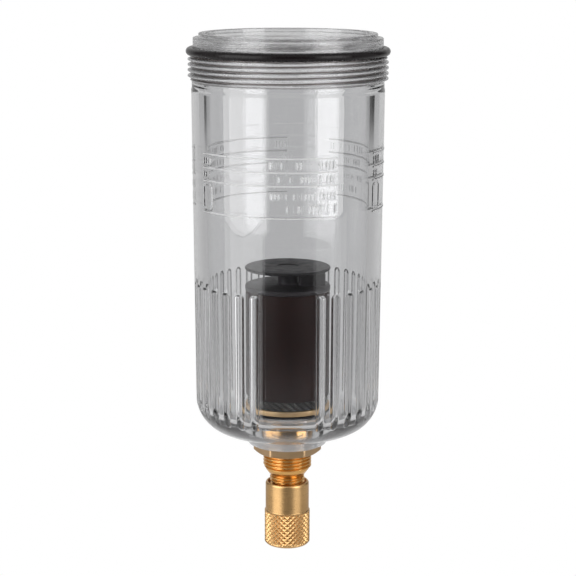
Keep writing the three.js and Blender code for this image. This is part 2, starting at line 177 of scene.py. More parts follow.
class Shader:
    """A principled material with the nodes most surfaces need."""

    def __init__(self, name, colour, roughness, metallic=0.0):
        self.material = bpy.data.materials.new(name)
        self.material.use_nodes = True
        self.tree = self.material.node_tree
        self.surface = self.tree.nodes["Principled BSDF"]
        self.surface.inputs["Base Color"].default_value = (*colour, 1)
        self.surface.inputs["Roughness"].default_value = roughness
        self.surface.inputs["Metallic"].default_value = metallic
        self.coordinates = self.tree.nodes.new("ShaderNodeTexCoord").outputs["Object"]

    def set(self, **values):
        """Set sockets by name, with _ for a space."""
        for key, value in values.items():
            self.surface.inputs[key.replace("_", " ")].default_value = value
        return self

    def link(self, source, target):
        self.tree.links.new(source, target)

    def noise(self, scale, detail=3.0, stretch=(1, 1, 1)):
        """Noise in the object's own space; scale is in features per metre."""
        mapping = self.tree.nodes.new("ShaderNodeMapping")
        mapping.inputs["Scale"].default_value = stretch
        texture = self.tree.nodes.new("ShaderNodeTexNoise")
        texture.inputs["Scale"].default_value = scale
        texture.inputs["Detail"].default_value = detail
        self.link(self.coordinates, mapping.inputs["Vector"])
        self.link(mapping.outputs["Vector"], texture.inputs["Vector"])
        return texture.outputs["Fac"]

    def radius_share(self, low, high):
        """0 at the low distance from the axis and 1 at the high one, both in millimetres."""
        flat = self.tree.nodes.new("ShaderNodeVectorMath")
        flat.operation = "MULTIPLY"
        flat.inputs[1].default_value = (1, 1, 0)
        length = self.tree.nodes.new("ShaderNodeVectorMath")
        length.operation = "LENGTH"
        share = self.tree.nodes.new("ShaderNodeMapRange")
        share.inputs["From Min"].default_value = low * MM
        share.inputs["From Max"].default_value = high * MM
        self.link(self.coordinates, flat.inputs[0])
        self.link(flat.outputs["Vector"], length.inputs[0])
        self.link(length.outputs["Value"], share.inputs["Value"])
        return share.outputs["Result"]

    def height_share(self, low, high):
        """0 at the low height and 1 at the high one, in millimetres."""
        split = self.tree.nodes.new("ShaderNodeSeparateXYZ")
        share = self.tree.nodes.new("ShaderNodeMapRange")
        share.inputs["From Min"].default_value = low * MM
        share.inputs["From Max"].default_value = high * MM
        self.link(self.coordinates, split.inputs["Vector"])
        self.link(split.outputs["Z"], share.inputs["Value"])
        return share.outputs["Result"]

    def multiply_colours(self, first, second):
        """One colour darkened by the other, on the base colour."""
        node = self.tree.nodes.new("ShaderNodeMix")
        node.data_type = "RGBA"
        node.blend_type = "MULTIPLY"
        node.inputs["Factor"].default_value = 1.0
        self.link(first, node.inputs[6])
        self.link(second, node.inputs[7])
        self.link(node.outputs[2], self.surface.inputs["Base Color"])

    def ramp(self, factor, *stops):
        """A colour ramp; each stop is (place, value or colour)."""
        node = self.tree.nodes.new("ShaderNodeValToRGB")
        elements = node.color_ramp.elements
        while len(elements) < len(stops):
            elements.new(0.5)
        for element, (place, value) in zip(elements, stops):
            element.position = place
            element.color = (*value, 1) if isinstance(value, tuple) else (value, value, value, 1)
        self.link(factor, node.inputs["Fac"])
        return node.outputs["Color"]

    def bump(self, height, distance, strength=1.0):
        """Bump from a height map; distance in millimetres."""
        node = self.tree.nodes.new("ShaderNodeBump")
        node.inputs["Distance"].default_value = distance * MM
        node.inputs["Strength"].default_value = strength
        self.link(height, node.inputs["Height"])
        self.link(node.outputs["Normal"], self.surface.inputs["Normal"])
        return self

    def vary(self, socket, factor, *stops):
        """Drive a socket with a ramp of the factor."""
        self.link(self.ramp(factor, *stops), self.surface.inputs[socket])
        return self


def clear_plastic():
    """The bowl's plastic: clear, with faint flow ripples, and a little milky under the knee by the gate."""
    shader = Shader("clear_polycarbonate", (0.86, 0.862, 0.87), 0.02)
    shader.set(IOR=1.585)
    shader.vary("Transmission Weight", shader.height_share(-111.5, -107.5), (0.0, 0.68), (1.0, 1.0))
    shader.vary("Roughness", shader.noise(90), (0.35, 0.004), (0.75, 0.022))
    shader.bump(shader.noise(28, 2.0, (1, 1, 0.25)), 0.05, 0.35)
    return shader.material


def machined_plastic():
    """The turned collar and ring of the bowl: the same plastic, frosted and streaked by fine tool lines."""
    shader = Shader("machined_polycarbonate", (0.88, 0.88, 0.885), 0.3)
    shader.set(IOR=1.585, Transmission_Weight=0.9)
    lines = shader.noise(5200, 3.0, (0.02, 0.02, 1))
    shader.vary("Roughness", lines, (0.3, 0.12), (0.7, 0.34))
    shader.vary("Base Color", shader.noise(1300, 2.0, (0.022, 0.022, 1)), (0.36, (0.48, 0.47, 0.47)),
                (0.45, (0.88, 0.88, 0.89)), (0.6, (0.97, 0.97, 0.975)))
    shader.bump(lines, 0.05, 0.7)
    return shader.material


def thread_plastic():
    """The cut thread: fine tool lines, light crests, and painted shade, a dark line painted into the base
    colour of the root.
    """
    shader = Shader("cut_polycarbonate", (0.92, 0.92, 0.93), 0.3)
    shader.set(IOR=1.585, Transmission_Weight=0.82)
    lines = shader.noise(4000, 3.0, (0.02, 0.02, 1))
    shader.vary("Roughness", lines, (0.3, 0.16), (0.7, 0.36))
    # painted shade: the base colour goes near black towards the thread's root, where the flanks shade it
    root = shader.ramp(shader.radius_share(26.6, 27.8), (0.18, (0.09, 0.07, 0.065)),
                       (0.46, (0.93, 0.93, 0.94)))
    tool_marks = shader.ramp(lines, (0.3, (0.86, 0.86, 0.87)), (0.6, (1.0, 1.0, 1.0)))
    shader.multiply_colours(root, tool_marks)
    shader.bump(lines, 0.04, 0.6)
    return shader.material


def frosted_marking():
    """The faces of the raised rules and blocks, matt and paler than the wall."""
    shader = Shader("frosted_marking", (0.97, 0.97, 0.975), 0.35)
    shader.set(IOR=1.585, Transmission_Weight=0.68)
    shader.vary("Roughness", shader.noise(1200), (0.3, 0.25), (0.7, 0.45))
    shader.bump(shader.noise(3000), 0.02, 0.5)
    return shader.material


def rubber(name, colour, smooth, rough, specular):
    """Rubber, its roughness between smooth and rough."""
    shader = Shader(name, colour, rough)
    shader.set(Specular_IOR_Level=specular)
    shader.vary("Roughness", shader.noise(900), (0.3, smooth), (0.7, rough))
    shader.bump(shader.noise(2500), 0.02, 0.4)
    return shader.material


def brass(name, colour, dark, roughness, line_scale):
    """Turned brass: fine tool lines round the axis and a slow change of tone."""
    shader = Shader(name, colour, roughness, 1.0)
    shader.vary("Base Color", shader.noise(120), (0.3, dark), (0.7, colour))
    lines = shader.noise(line_scale, 2.0, (0.02, 0.02, 1))
    shader.vary("Roughness", lines, (0.3, roughness - 0.08), (0.7, roughness + 0.1))
    shader.bump(lines, 0.015, 0.5)
    return shader.material


def moulded(name, colour, roughness, specular, grain=1600):
    """Moulded plastic with a fine matt grain."""
    shader = Shader(name, colour, roughness)
    shader.set(Specular_IOR_Level=specular)
    lighter = tuple(1.35 * part for part in colour)
    shader.vary("Base Color", shader.noise(60), (0.35, colour), (0.75, lighter))
    shader.vary("Roughness", shader.noise(400), (0.3, roughness - 0.06), (0.7, roughness + 0.1))
    shader.bump(shader.noise(grain), 0.03, 0.35)
    return shader.material


def steel(name, colour):
    """Bright drawn or pressed steel."""
    shader = Shader(name, colour, 0.3, 1.0)
    shader.vary("Roughness", shader.noise(1500), (0.3, 0.2), (0.7, 0.4))
    shader.bump(shader.noise(3000), 0.01, 0.4)
    return shader.material


def foam():
    """The float's closed-cell foam."""
    shader = Shader("float_foam", (0.30, 0.27, 0.23), 0.9)
    shader.vary("Base Color", shader.noise(700), (0.3, (0.24, 0.21, 0.18)), (0.7, (0.36, 0.33, 0.28)))
    shader.bump(shader.noise(1400, 4.0), 0.15, 0.6)
    return shader.material


CLEAR = clear_plastic()
MACHINED = machined_plastic()
THREADED = thread_plastic()
MARKING = frosted_marking()
RUBBER = rubber("black_rubber", (0.012, 0.011, 0.012), 0.42, 0.6, 0.4)
RING_RUBBER = rubber("ring_rubber", (0.005, 0.003, 0.0035), 0.2, 0.36, 0.25)
KNOB_BRASS = brass("satin_brass", (0.72, 0.45, 0.20), (0.60, 0.37, 0.16), 0.34, 9000)
THREAD_BRASS = brass("turned_brass", (0.80, 0.46, 0.16), (0.68, 0.37, 0.11), 0.26, 7000)
NUT_BRASS = brass("aged_brass", (0.62, 0.42, 0.24), (0.46, 0.31, 0.17), 0.42, 2500)
# painted light: a paler, lighter copy of the turned brass, which makes the drain body's flange inside the
# bowl read brighter; the hidden inner brass parts use it too
FLANGE_BRASS = brass("flange_brass", (0.90, 0.64, 0.36), (0.80, 0.54, 0.28), 0.36, 6000)
BLACK = moulded("black_plastic", (0.016, 0.014, 0.016), 0.42, 0.3)
LID_BLACK = moulded("lid_plastic", (0.034, 0.030, 0.034), 0.45, 0.4)
# painted shade: a near-black matt sheet for the strainer's sleeve, standing in for the shade inside the
# strainer
SHADE_SLEEVE_BLACK = moulded("painted_shade_sleeve", (0.004, 0.004, 0.004), 0.8, 0.1)
BROWN = moulded("brown_plastic", (0.021, 0.006, 0.005), 0.36, 0.2, 900)
STEEL = steel("steel_wire", (0.62, 0.61, 0.59))
MESH_STEEL = steel("bright_mesh_wire", (0.92, 0.90, 0.88))
FOAM = foam()


# ------------------------------------------------------------------ bowl

AROUND = 648                                  # eighteen steps to each 10 degree flute pitch
BOWL_LOW, _, _ = span("bowl")
BORE, RING, COLLAR, SEAL_NECK = 22.9, 24.75, 26.3, 25.9     # radii at the head, from the inside out
COLLAR_Z = (-1.25, -3.65)                     # top and bottom of the collar
THREAD_Z = (-12.95, -6.25)
THREAD = {"root": 26.75, "depth": 1.0, "pitch": 1.5, "crest_z": -6.35}
RELIEF_RADIUS = 26.67                         # the turned run-out below the thread
BODY_TOP, KNEE_TOP = (26.82, -15.3), (25.98, -102.65)       # radius and z of the tapered wall's ends
KNEE, CONE = 10.0, 19.3                       # knee radius, and slope of the cone below it in degrees
WALL, FLOOR, INNER_KNEE = 4.0, -106.65, 3.0
DRAIN_BORE, BOSS = 7.3, 11.1                  # radii of the hole in the floor and of the boss round it

# Grip flutes: cutter radius, its distance from the axis, ends, degrees apart, half of the plain window.
FLUTE = {"radius": 1.05, "centre": 26.0, "top": -69.1, "bottom": -112.0, "pitch": 10, "window": 15}

RULES_Z = (-31.65, -35.4, -39.0, -47.6)       # plain raised rules round the bowl
PANELS = (-60, 60, 180)                       # start of each 90 degree panel, degrees right of the window
PANEL = 90
RELIEF = 0.13                                 # height of everything raised
# Rows of plain upright bars: (middle z, height, first and last degree in the panel).
BLOCK_ROWS = ((-33.5, 1.9, 49, 89), (-37.2, 1.9, 54, 89), (-41.7, 2.0, 50, 89), (-45.2, 2.0, 59, 89),
              (-33.5, 1.9, 1, 9), (-37.2, 1.9, 1, 6))
BLOCK_PITCH, BLOCK_WIDTH = 20 / 9, 0.45       # degrees, and share of the pitch that is raised
BARS_IN_GROUP = 7                             # the sixth bar of each group is left out
BADGE = {"angle": 5.0, "z": -43.3, "half": (1.9, 3.4), "corner": 0.9}


def panel_degrees(theta):
    """Degrees to the right of the nearest panel's start, for directions theta from +X."""
    from_window = np.degrees(theta) + 90
    return np.stack([(from_window - start) % 360 for start in PANELS]).min(axis=0)


def raised_marks(theta, z, radius):
    """Height in millimetres of the raised rules, bars and plain frames at each point of the bowl."""
    angle = panel_degrees(theta)
    in_panel = smooth_step(angle, 0.0, 0.6) * smooth_step(-angle, -PANEL, -PANEL + 0.6)
    height = np.zeros(np.broadcast(theta, z).shape)
    for rule in RULES_Z:
        height = np.maximum(height, in_panel * (np.abs(z - rule) < 0.18))
    for middle, tall, first, last in BLOCK_ROWS:
        place = (angle - first) / BLOCK_PITCH
        group_gap = np.floor(place) % BARS_IN_GROUP == 5
        on_block = (place % 1 < BLOCK_WIDTH) & (angle >= first) & (angle <= last) & ~group_gap
        height = np.maximum(height, on_block * (np.abs(z - middle) < tall / 2))
    across = np.abs(np.radians(angle - BADGE["angle"]) * radius) - BADGE["half"][0] + BADGE["corner"]
    along = np.abs(z - BADGE["z"]) - BADGE["half"][1] + BADGE["corner"]
    edge = np.hypot(np.maximum(across, 0), np.maximum(along, 0)) + np.minimum(np.maximum(across, along), 0)
    height = np.maximum(height, np.abs(edge - BADGE["corner"]) < 0.2)
    return RELIEF * height


def fluted(theta, z, radius):
    """The wall's radius after the round-ended grip flutes are scooped out of it."""
    from_window = (np.degrees(theta) + 90 + 180) % 360 - 180
    nearest = np.round(from_window / FLUTE["pitch"]) * FLUTE["pitch"]
    off = np.radians(from_window - nearest)
    end = np.clip(z - (FLUTE["top"] - FLUTE["radius"]), 0, None)
    bar = np.sqrt(np.clip(FLUTE["radius"] ** 2 - end ** 2, 0, None))
    sideways = FLUTE["centre"] * np.sin(off)
    inside = np.sqrt(np.clip(bar ** 2 - sideways ** 2, 0, None))
    scooped = FLUTE["centre"] * np.cos(off) - inside
    is_flute = (np.abs(sideways) < bar) & (np.abs(nearest) > FLUTE["window"]) & (scooped < radius)
    return np.where(is_flute, scooped, radius)


def bowl_levels():
    """(outer levels, inner levels) of the bowl's section as (radius, z), bottom to rim and rim to bottom."""
    knee_centre = KNEE_TOP[0] - KNEE
    slope = math.radians(CONE)
    cone_top = (knee_centre + KNEE * math.sin(slope), KNEE_TOP[1] - KNEE * math.cos(slope))
    boss_top = cone_top[1] - (cone_top[0] - BOSS) * math.tan(slope)
    foot = [(DRAIN_BORE, BOWL_LOW), (9.9, BOWL_LOW), (BOSS, BOWL_LOW + 0.6), (BOSS, boss_top + 0.5)]
    blend = [(BOSS + 0.12, boss_top + 0.12), (BOSS + 0.5, boss_top + 0.18)]
    knee = arc(knee_centre, KNEE_TOP[1], KNEE, CONE - 90, 0, 34)

    fine_z = [np.arange(-101.5, -96, 0.6), np.arange(-95, -73, 4), np.arange(-71.7, -68.1, 0.22),
              [-67.4, -60, -54]]
    label_z = [np.arange(-48.2, -30.9, 0.3)]
    label_z += [rule + np.array([-0.22, -0.16, 0, 0.16, 0.22]) for rule in RULES_Z]
    body_z = np.unique(np.round(np.concatenate(fine_z + label_z + [[-28, -22, -16]]), 3))
    share = (body_z - KNEE_TOP[1]) / (BODY_TOP[1] - KNEE_TOP[1])
    body = list(zip(KNEE_TOP[0] + share * (BODY_TOP[0] - KNEE_TOP[0]), body_z))

    thread_z = np.arange(THREAD_Z[0], THREAD_Z[1] + 0.01, 0.125)
    thread = [(THREAD["root"], z) for z in thread_z]
    head = rounded([
        (SEAL_NECK, -6.05), (SEAL_NECK, COLLAR_Z[1]), (COLLAR, COLLAR_Z[1]), (COLLAR, COLLAR_Z[0]),
        (RING, COLLAR_Z[0]), (RING, 0.0, 0.3), (BORE, 0.0, 0.3), (BORE, -4)], 0.14, 4, closed=False)
    relief = [(RELIEF_RADIUS, BODY_TOP[1] + 0.2), (RELIEF_RADIUS, THREAD_Z[0] - 0.3)]
    outer = foot + blend + knee + body + [BODY_TOP] + relief + thread + [(THREAD["root"] - 0.1, -6.12)]
    inner_wall = KNEE_TOP[0] - WALL
    inner = [tuple(corner) for corner in head] + [(22.5, -50)]
    inner += arc(inner_wall - INNER_KNEE, FLOOR + INNER_KNEE, INNER_KNEE, 0, -90, 14)
    inner += [(12.0, FLOOR), (DRAIN_BORE, FLOOR)]
    return np.array(outer), np.array(inner)


def make_bowl():
    """The clear bowl, with its head, thread and raised marks in their own finishes."""
    outer, inner = bowl_levels()
    theta = (np.arange(AROUND) * TAU / AROUND)[None, :]
    radius, z = outer[:, :1] + 0 * theta, outer[:, 1:] + 0 * theta
    on_body = (z < BODY_TOP[1] - 0.5) & (z > KNEE_TOP[1])
    marks = np.where(on_body, raised_marks(theta, z, radius), 0)
    radius = radius + marks
    in_flutes = (z < FLUTE["top"] + 1) & (z > FLUTE["bottom"])
    radius = np.where(in_flutes, fluted(theta, z, radius), radius)
    in_thread = (z >= THREAD_Z[0]) & (z <= THREAD_Z[1])
    ridge = thread_height(theta, z, *THREAD_Z, THREAD["pitch"], THREAD["crest_z"])
    radius = radius + np.where(in_thread, THREAD["depth"] * ridge, 0)
    levels_inner = ring_points(inner[:, :1], inner[:, 1:], theta)
    points = np.concatenate([ring_points(radius, z, theta), levels_inner])
    levels = np.concatenate([outer, inner])
    made = piece("clear_bowl", points, grid_faces(len(levels), AROUND), CLEAR, "bowl_unit", "bowl", sharp=75)
    for material in (MACHINED, THREADED, MARKING):
        made.data.materials.append(material)
    finish = np.zeros((len(levels), AROUND), dtype=np.int32)
    finish[(levels[:, 1] >= THREAD_Z[1]) & (levels[:, 0] > RING - 1)] = 1
    finish[(levels[:, 1] >= THREAD_Z[0]) & (levels[:, 1] < THREAD_Z[1]) & (levels[:, 0] > SEAL_NECK)] = 2
    on_mark = marks[:-1] + marks[1:] + np.roll(marks, -1, axis=1)[:-1] + np.roll(marks, -1, axis=1)[1:]
    finish[:len(outer) - 1][on_mark > 2.5 * RELIEF] = 3
    made.data.polygons.foreach_set("material_index", finish.ravel())
    return made


make_bowl()


def cord_ring(name, centre_radius, cord, z, material, body, node, around=256, section=20):
    """A round rubber ring."""
    angles = np.arange(section) * TAU / section
    outline = [(centre_radius + cord * math.cos(a), z + cord * math.sin(a)) for a in angles]
    return turned(name, outline, material, body, node, around=around, fillet=0)


o_ring_low, o_ring_high, o_ring_radius = span("bowl_o_ring")
O_CORD = 1.1
cord_ring("sealing_ring", o_ring_radius - O_CORD, O_CORD, (o_ring_low + o_ring_high) / 2, RING_RUBBER,
                  "bowl_unit", "bowl_o_ring")


# ------------------------------------------------------------------ drain body, gasket and nut

def make_drain_body():
    """The brass body: flange and hub in the bowl, M14 shank and M10 neck below, with helical threads."""
    body_low, body_high, flange_radius = span("drain_body")
    shank_z, neck_z, around = (-123.9, -119.3), (-132.9, -126.3), 160
    levels = [(3.2, body_low), (4.3, body_low), (4.45, body_low + 0.3)]
    levels += [(4.45, z) for z in np.arange(neck_z[0], neck_z[1] + 0.01, 0.0835)]
    levels += [(4.55, -126.15), (5.1, -125.9), (6.2, -124.45), (6.3, -124.1)]
    levels += [(6.3, z) for z in np.arange(shank_z[0], shank_z[1] + 0.01, 0.0835)]
    levels += [(6.8, -119.1), (6.93, -118.9)]
    outer_count = len(levels)
    levels += [tuple(corner) for corner in rounded([
        (6.93, -110), (6.93, -106), (flange_radius, -106, 0.25), (flange_radius, -104.55, 0.25),
        (5.5, -104.55), (5.5, body_high), (3.2, body_high), (3.2, -103), (3.7, -103), (3.7, -108),
        (3.2, -108), (3.2, -120)], 0.12, closed=False)]
    levels = np.array(levels)
    theta = (np.arange(around) * TAU / around)[None, :]
    radius, z = levels[:, :1] + 0 * theta, levels[:, 1:] + 0 * theta
    outside = np.arange(len(levels))[:, None] < outer_count
    pitch, crest_z, fade = 1.0, -125.4, 0.35
    for low, high, depth in ((*neck_z, 0.55), (*shank_z, 0.6)):
        ridge = thread_height(theta, z, low, high, pitch, crest_z, fade)
        radius = radius + np.where(outside & (z >= low) & (z <= high), depth * ridge, 0)
    points = ring_points(radius, z, theta)
    made = piece("threaded_drain_body", points, grid_faces(len(levels), around), THREAD_BRASS,
                 "bowl_unit", "drain_body")
    # painted light: the flange and hub inside the bowl take the paler copy of the same brass
    made.data.materials.append(FLANGE_BRASS)
    in_bowl = np.repeat((levels[:, 1] > -107).astype(np.int32), around)
    made.data.polygons.foreach_set("material_index", in_bowl)
    return made


make_drain_body()

gasket_low, gasket_high, gasket_radius = span("flange_gasket")
turned("flange_washer", [
    (7.5, gasket_low), (gasket_radius, gasket_low), (gasket_radius, gasket_high), (7.5, gasket_high)],
    RUBBER, "bowl_unit", "flange_gasket")


def make_nut():
    """Hexagon nut, 17 mm across flats, chamfered below, one flat towards the window."""
    low, high, _ = span("clamp_nut")
    flats, corner = 8.5, 8.5 / math.cos(math.pi / 6)
    chamfer_height, around = 0.6, 240
    chamfer = np.linspace(0, chamfer_height, 8)
    levels = [(7.2, low + 0.3, 7.2), (7.5, low, 7.5), (8.1, low, 8.1)]
    levels += [(corner, low + 0.05 + up, flats - 0.1 + up * (corner - flats + 0.1) / chamfer_height)
               for up in chamfer]
    levels += [(corner, high - 0.2, corner), (corner, high - 0.05, corner - 0.2),
               (corner, high, corner - 0.45), (7.6, high, 7.6), (7.2, high - 0.3, 7.2)]
    theta = np.arange(around) * TAU / around
    flat_direction = (theta + math.pi / 6 - math.pi / 2) % (math.pi / 3) - math.pi / 6
    hexagon = np.minimum(flats / np.cos(flat_direction), corner - 0.14)
    rows = []
    for reach, z, limit in levels:
        ring = np.minimum(hexagon, limit) if reach == corner else np.full_like(theta, limit)
        rows.append(ring_points(ring, z, theta))
    return piece("hexagon_nut", np.concatenate(rows), grid_faces(len(levels), around), NUT_BRASS, "bowl_unit",
                 "clamp_nut", sharp=24)


make_nut()


# ------------------------------------------------------------------ strainer, housing, cap and disc

def make_strainer():
    """The woven strainer: slanting bright wires that rise and dip in turn, over a near-black sleeve, a dark
    sheet put in as painted shade for the shadowed inside.
    """
    low, high, radius = span("inlet_strainer")
    wire, count, slant, sleeve_radius = 0.12, 70, 0.3, 11.34
    steps, section, dips = 24, 8, 3
    share = np.linspace(0, 1, steps + 1)
    angle = np.arange(section) * TAU / section
    points, faces = [], []

    def add_rows(rows, closed):
        start = sum(len(part) for part in points)
        faces.extend(grid_faces(rows.shape[0], rows.shape[1], start, closed).tolist())
        points.append(rows.reshape(-1, 3))

    for index in range(count):
        direction = index * TAU / count + slant * (share - 0.5)
        over_under = np.cos(share * dips * TAU + index * math.pi)
        middle = radius - wire - 0.2 + 0.17 * over_under
        z = low + wire + (high - low - 2 * wire) * share
        wire_radius = middle[:, None] + wire * np.cos(angle)[None, :]
        sideways = direction[:, None] + wire * np.sin(angle)[None, :] / radius
        add_rows(np.stack([wire_radius * np.cos(sideways), wire_radius * np.sin(sideways),
                           z[:, None] + 0 * sideways], axis=-1), closed=False)
    wire_faces = len(faces)
    around = 120
    theta = np.arange(around) * TAU / around
    # the sleeve is a dark sheet of painted shade behind the wires
    inner = sleeve_radius - 0.3
    sleeve = np.array([(inner, low), (sleeve_radius, low), (sleeve_radius, high), (inner, high)])
    add_rows(ring_points(sleeve[:, :1], sleeve[:, 1:], theta).reshape(len(sleeve), around, 3), closed=True)
    made = piece("woven_strainer", np.concatenate(points), faces, MESH_STEEL, "bowl_unit", "inlet_strainer")
    made.data.materials.append(SHADE_SLEEVE_BLACK)
    on_sleeve = [int(index >= wire_faces) for index in range(len(faces))]
    made.data.polygons.foreach_set("material_index", on_sleeve)
    return made


make_strainer()

house_low, house_high, house_radius = span("float_housing")
turned("float_tube", [
    (10.9, house_low), (house_radius, house_low, 0.25), (house_radius, house_high), (10.9, house_high)],
    BROWN, "bowl_unit", "float_housing")

CAP_TOP, CAP_RIM = -70.2, 1.3
cap_low, cap_high, cap_radius = span("housing_cap")
turned("lid_with_neck", [
    (0, cap_low + 1.8), (6, cap_low + 1.8), (6, cap_low), (10.8, cap_low), (10.8, CAP_TOP - CAP_RIM),
    (cap_radius, CAP_TOP - CAP_RIM, 0.2), (cap_radius, CAP_TOP, 0.35), (2.75, CAP_TOP, 0.6),
    (2.75, CAP_TOP + 2.4, 1.4), (3.4, cap_high - 0.2), (3.4, cap_high), (1.6, cap_high),
    (1.6, cap_high - 3.2), (0, cap_high - 3.2)],
    LID_BLACK, "bowl_unit", "housing_cap", fillet=0.2)

disc_low, disc_high, disc_radius = span("splash_disc")
turned("splash_plate", [
    (0, disc_low), (1.5, disc_low), (1.5, disc_high - 0.85), (disc_radius - 0.25, disc_high - 0.85),
    (disc_radius, disc_high - 0.5), (disc_radius, disc_high - 0.25), (disc_radius - 0.3, disc_high),
    (3.2, disc_high, 0.2), (2.9, disc_high - 0.25, 0.2), (0, disc_high - 0.25)],
    BLACK, "bowl_unit", "splash_disc", around=160, fillet=0.1)


def make_vent_block():
    """The block on the lid: a wide foot and a narrower tower with a vent hole sunk into its top."""
    low, high = (np.array(corner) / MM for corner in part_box("vent_block"))
    foot = {"middle": (6.8, 0), "half": (3.8, 3.2), "top": -66.6}
    tower = {"middle": (6.9, 0), "half": (1.9, 2.6), "top": high[2]}
    corner, edge, hole = 0.7, 0.3, 1.0
    theta = np.arange(96) * TAU / 96

    def ring(tier, inset, z):
        """The tier's rounded rectangle, pulled in by inset, at height z."""
        reach = np.array(tier["half"]) - inset
        power = 2 * min(reach) / corner
        across, along = np.cos(theta), np.sin(theta)
        size = (np.abs(across / reach[0]) ** power + np.abs(along / reach[1]) ** power) ** (-1 / power)
        middle = tier["middle"]
        return np.stack([middle[0] + size * across, middle[1] + size * along, z + 0 * theta], axis=-1)

    def bore(radius, z):
        """A circle on the tower's middle at height z."""
        x, y = tower["middle"]
        return np.stack([x + radius * np.cos(theta), y + radius * np.sin(theta), z + 0 * theta], axis=-1)

    turn = np.radians(np.linspace(0, 90, 5))
    rows = [bore(0.01, low[2]), ring(foot, 0.05, low[2]), ring(foot, 0, low[2] + 0.05)]
    for tier in (foot, tower):
        rows += [ring(tier, edge * (1 - math.cos(a)), tier["top"] - edge + edge * math.sin(a)) for a in turn]
        if tier is foot:
            rows += [ring(tower, -0.15, tier["top"]), ring(tower, 0, tier["top"] + 0.15)]
    top = tower["top"]
    rows += [bore(hole + 0.1, top), bore(hole, top - 0.1), bore(hole, top - 0.9), bore(0.01, top - 0.9)]
    return piece("vent_housing", np.concatenate(rows), grid_faces(len(rows), len(theta)), LID_BLACK,
                 "bowl_unit", "vent_block")


make_vent_block()


# ------------------------------------------------------------------ outlet tube and drain knob

tube_low, tube_high, tube_radius = span("outlet_tube")
turned("drain_tube", [
    (1.3, tube_low), (2.2, tube_low), (2.2, -139.95), (1.9, -139.95), (1.9, -139.2), (2.2, -139.2),
    (2.2, -134.95), (tube_radius, -134.95), (tube_radius, -112.5), (2.4, -112.5), (2.4, -111.4),
    (tube_radius, -111.4), (tube_radius, tube_high), (1.3, tube_high)],
    KNOB_BRASS, "outlet", "outlet_tube", around=64, fillet=0.1)


def make_knob():
    """The drain knob: cupped mouth over the neck, smooth upper half, diamond knurl below, port underneath."""
    low, high, knurl_radius = span("drain_knob")
    knurl_z = (low + 0.75, -136.9)
    lines, pitch, depth = 26, 1.48, 0.5
    around = 12 * lines
    levels = [(4.4, low + 0.3), (4.5, low + 0.08), (4.7, low)]
    levels += arc(knurl_radius - 1.05, low + 0.9, 0.9, -80, -15, 6)
    knurl_first = len(levels)
    levels += [(knurl_radius, z) for z in np.arange(knurl_z[0], knurl_z[1], pitch / 12)]
    knurl_last = len(levels)
    levels += [tuple(c) for c in rounded([
        (knurl_radius, knurl_z[1]), (6.25, -136.7), (6.25, high - 0.45, 0.4), (5.95, high, 0.2),
        (5.6, high, 0.15), (5.35, high - 0.9, 0.3), (5.06, high - 1.3), (5.06, -135.1), (2.28, -135.1),
        (2.28, -139), (4.4, -139), (4.4, -141)], 0.12, closed=False)]
    levels = np.array(levels)
    theta = (np.arange(around) * TAU / around)[None, :]
    radius, z = levels[:, :1] + 0 * theta, levels[:, 1:] + 0 * theta
    up = lines * theta / TAU + (z - knurl_z[0]) / pitch
    down = lines * theta / TAU - (z - knurl_z[0]) / pitch
    pit = 1 - np.maximum(np.abs(2 * (up % 1) - 1), np.abs(2 * (down % 1) - 1))
    ends = smooth_step(z, knurl_z[0], knurl_z[0] + 0.5) * smooth_step(-z, -knurl_z[1], -knurl_z[1] + 0.4)
    level = np.arange(len(levels))[:, None]
    in_knurl = (level >= knurl_first) & (level < knurl_last)
    radius = radius - np.where(in_knurl, depth * pit * ends, 0)
    points = ring_points(radius, z, theta)
    return piece("knurled_knob", points, grid_faces(len(levels), around), KNOB_BRASS, "knob", "drain_knob",
                 sharp=32)


make_knob()


# ------------------------------------------------------------------ inner pieces

KEPT = {                                      # CAD shapes that stay as they are, and their materials
    "guide_tube": FLANGE_BRASS, "pilot_cylinder": BLACK, "pilot_nozzle": FLANGE_BRASS, "lever_bracket": BLACK,
    "lever_pin": STEEL, "pilot_lever": STEEL, "pilot_pad": RUBBER, "float": FOAM, "piston": FLANGE_BRASS,
    "piston_seal": RUBBER, "valve_stem": STEEL, "stem_clip": STEEL, "valve_seal": RUBBER,
    "outlet_o_ring": RUBBER, "knob_clip": STEEL,
}
for node, material in KEPT.items():
    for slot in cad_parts[node].material_slots:
        slot.material = material


def make_return_spring():
    """The piston's return spring, a round wire wound up to the lid; the rising piston shortens the real one,
    but this mesh keeps one length.
    """
    low, high, outer = span("piston_spring")
    wire, turns, steps, around, piston_travel = 0.3, 4, 160, 12, 2.0
    along = np.linspace(0, 1, steps + 1)[:, None]
    section = np.arange(around) * TAU / around
    radius = outer - wire + wire * np.cos(section)
    z = low + wire + (high - low - 2 * wire) * along - wire * np.sin(section)
    points = ring_points(radius, z, along * turns * TAU)
    faces = grid_faces(steps + 1, around, closed=False).tolist()
    faces += [list(range(around))[::-1], list(range(steps * around, (steps + 1) * around))]
    made = piece("return_spring", points, faces, STEEL, "bowl_unit", "piston_spring")
    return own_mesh(made)


make_return_spring()


# ------------------------------------------------------------------ floor, backdrop, light and camera

